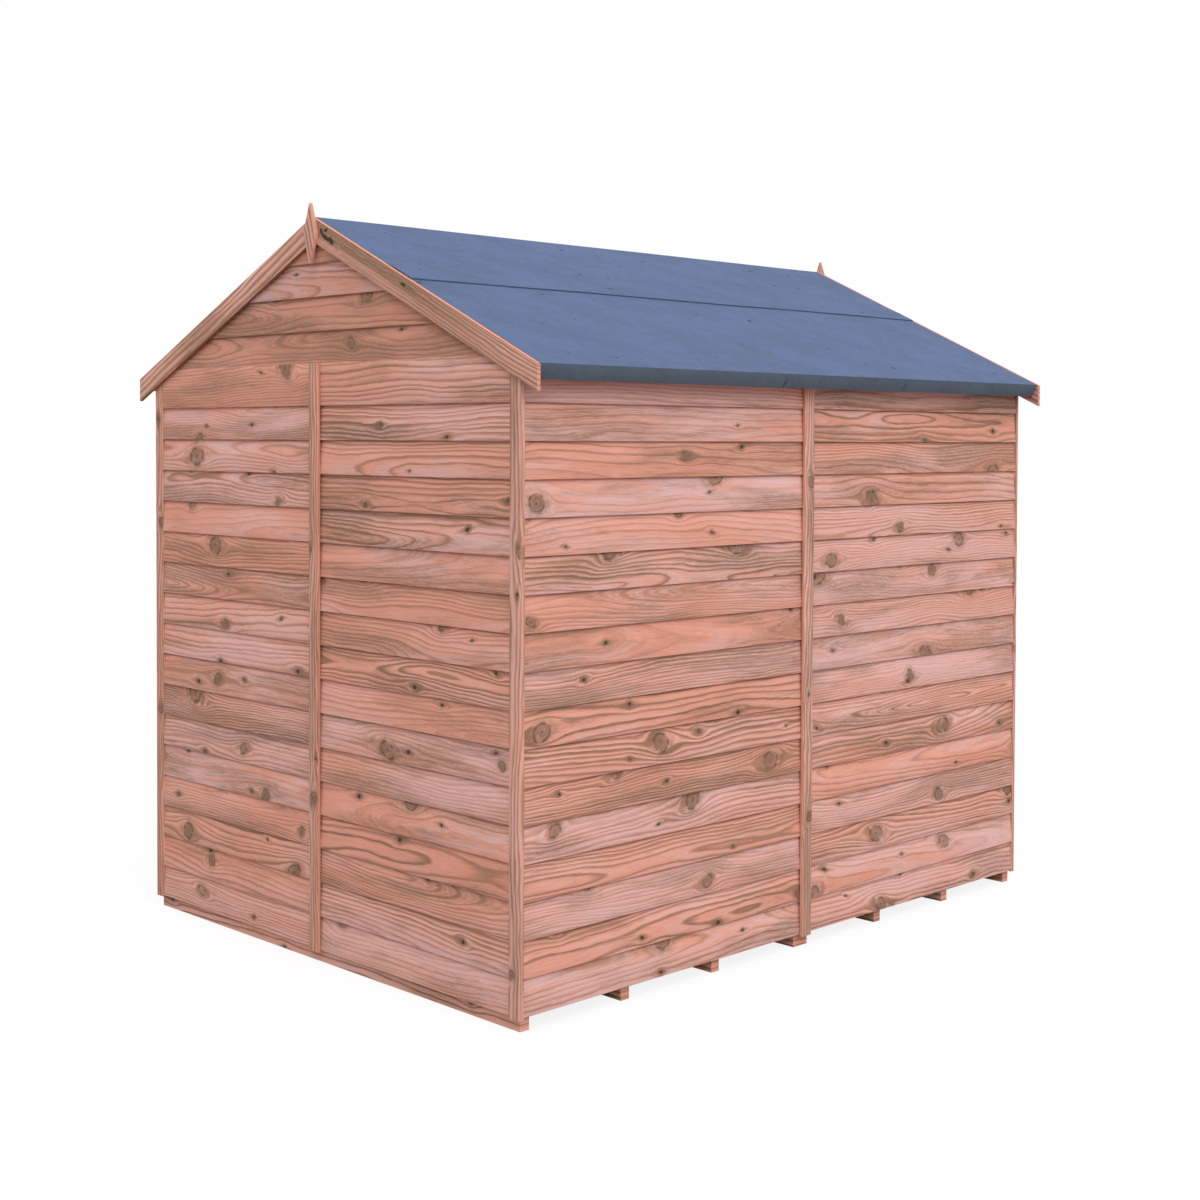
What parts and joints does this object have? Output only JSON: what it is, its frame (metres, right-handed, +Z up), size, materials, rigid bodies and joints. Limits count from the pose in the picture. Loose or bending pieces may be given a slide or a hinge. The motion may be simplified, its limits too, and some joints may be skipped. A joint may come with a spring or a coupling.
{
  "type": "garden shed",
  "caption": "Wooden garden shed with lapped board walls, a felted apex roof, barge boards, diamond finials and a plank floor on bearers.",
  "frame": {"origin": "centre of the object's plan, on the ground under its bearers", "axes": "+Z up, +Y along the ridge from the rear gable to the door gable, +X to the right-hand side wall"},
  "size_m": [2.02, 2.478, 2.3202],
  "materials": {
    "cladding": "dip-treated softwood boards, sawn",
    "trim": "dip-treated softwood, planed",
    "frame": "bare softwood, sawn",
    "floor": "dip-treated softwood, sawn",
    "felt": "mineral-faced bitumen felt",
    "felt_edge": "mineral-faced bitumen felt",
    "hardware": "black enamel"
  },
  "bodies": {
    "root": {"rear_floor_bearers": "floor", "front_floor_bearers": "floor", "rear_floor_deck": "floor", "front_floor_deck": "floor", "right_rear_cladding": "cladding", "right_front_cladding": "cladding", "left_rear_cladding": "cladding", "left_front_cladding": "cladding", "right_wall_rails": "frame", "left_wall_rails": "frame", "right_wall_studs": "frame", "left_wall_studs": "frame", "right_cover_strip": "trim", "left_cover_strip": "trim", "rear_right_cladding": "cladding", "rear_left_cladding": "cladding", "rear_peak_cladding": "cladding", "rear_gable_rails": "frame", "rear_gable_studs": "frame", "rear_gable_rafters": "frame", "rear_corner_trims": "trim", "rear_cover_strip": "trim", "front_right_cladding": "cladding", "front_left_cladding": "cladding", "front_peak_cladding": "cladding", "front_gable_rails": "frame", "front_gable_studs": "frame", "front_gable_rafters": "frame", "front_corner_trims": "trim", "door_leaf": "cladding", "door_ledges": "frame", "door_hardware": "hardware", "roof_purlins": "frame", "eaves_rails": "frame", "right_roof_boards": "frame", "left_roof_boards": "frame", "right_felt": "felt", "left_felt": "felt", "eaves_felt": "felt_edge", "rear_right_barge": "trim", "rear_left_barge": "trim", "front_right_barge": "trim", "front_left_barge": "trim", "rear_finial": "trim", "front_finial": "trim"}
  },
  "joints": []
}
